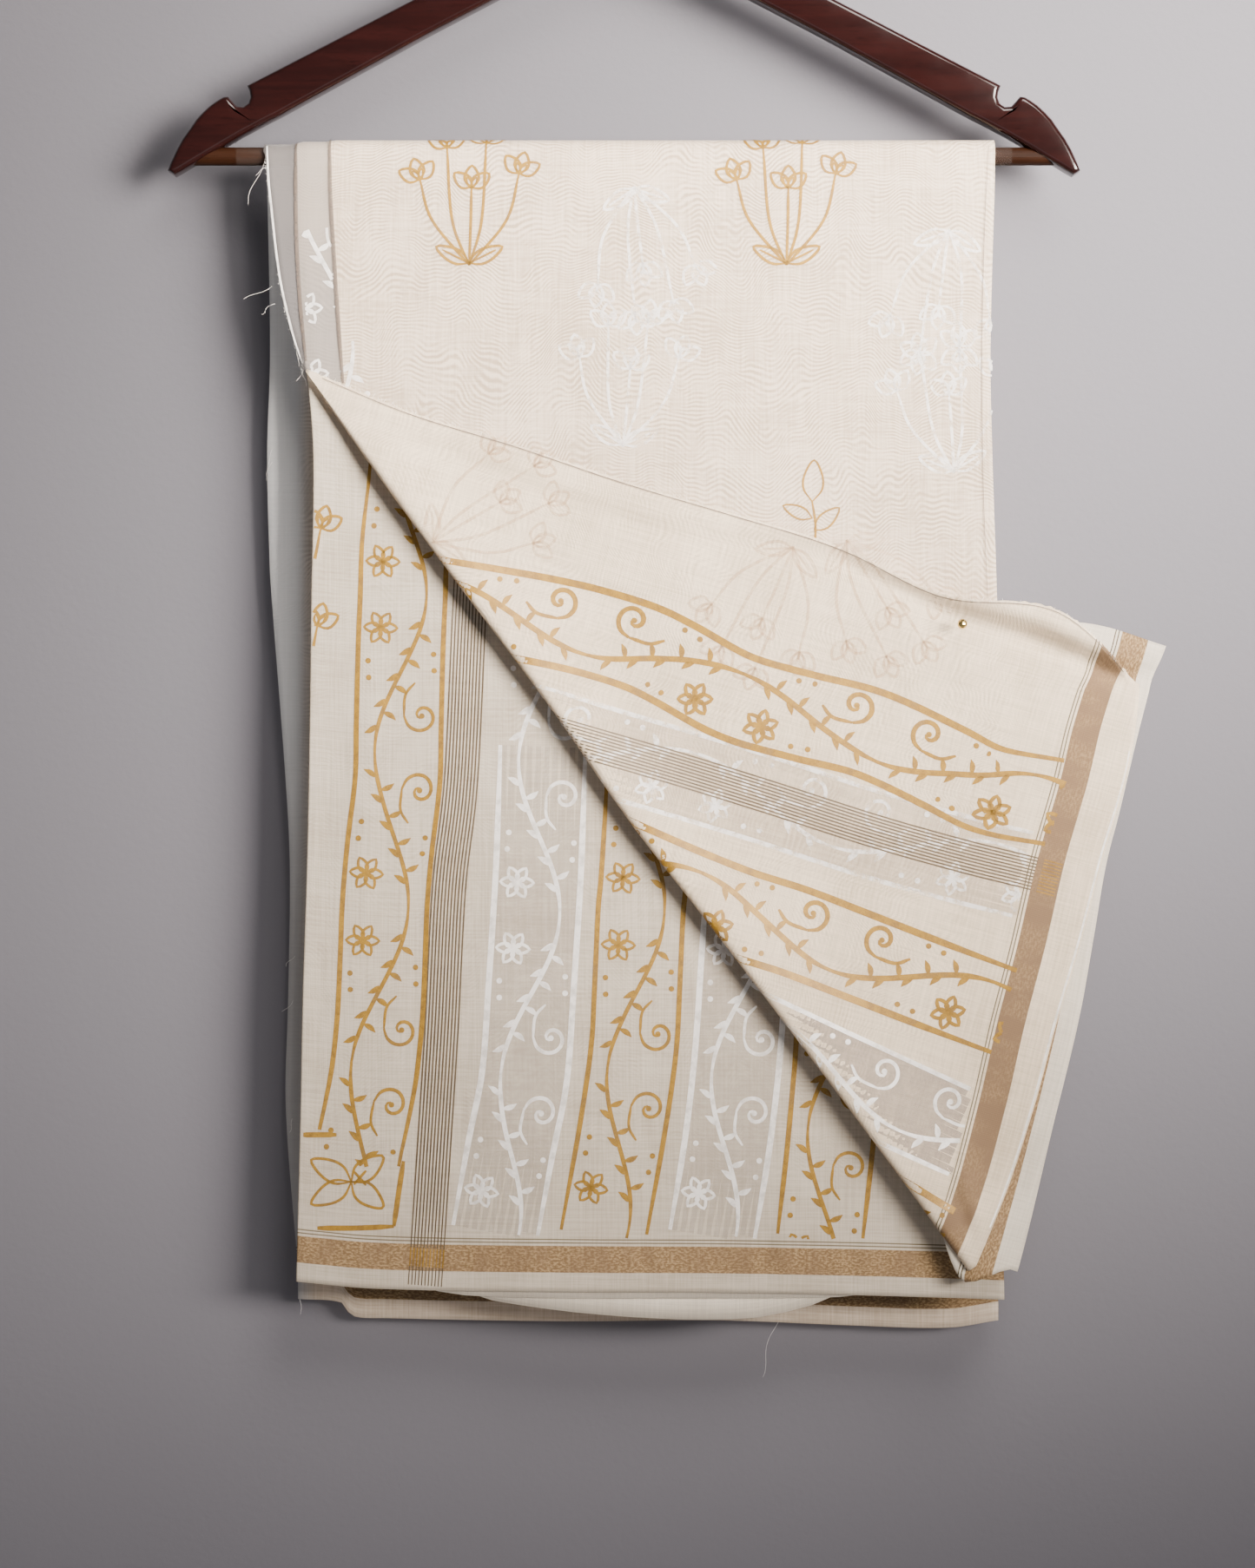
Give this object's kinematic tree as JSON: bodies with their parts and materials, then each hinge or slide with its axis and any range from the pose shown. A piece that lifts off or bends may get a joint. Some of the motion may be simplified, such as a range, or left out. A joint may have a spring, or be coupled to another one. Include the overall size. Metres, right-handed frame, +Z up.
{
  "type": "sari on a clothes hanger",
  "caption": "Block-printed sheer sari folded into a long pack, hung in half over a wooden hanger's bar, with its loose end turned up in a diagonal flap.",
  "frame": {"origin": "inside top of the hanger's hook, where a rail carries it", "axes": "+X to the right seen from the front, -Y towards the viewer of the printed front, +Z up"},
  "size_m": [0.4761, 0.0531, 0.7889],
  "materials": {
    "sheer_cloth": "sheer silk cotton with a soft sheen",
    "printed_cloth": "sheer silk cotton with gold and white block print and a brown zari border",
    "inner_cloth": "sheer silk cotton in shade",
    "gloss_wood": "dark mahogany gloss varnish",
    "bar_wood": "brown satin varnish",
    "clear_sleeve": "clear flexible plastic",
    "hook_steel": "bright plated wire",
    "pin_gold": "polished gold colour"
  },
  "bodies": {
    "root": {"front_sheet": "sheer_cloth", "back_sheet": "sheer_cloth", "turned_flap": "printed_cloth", "flap_under_layer": "printed_cloth", "pallu_panel": "printed_cloth", "folded_layers": "inner_cloth", "hanger_body": "gloss_wood", "trouser_bar": "bar_wood", "bar_sleeve": "clear_sleeve", "hanger_hook": "hook_steel", "ball_pin": "pin_gold"}
  },
  "joints": []
}
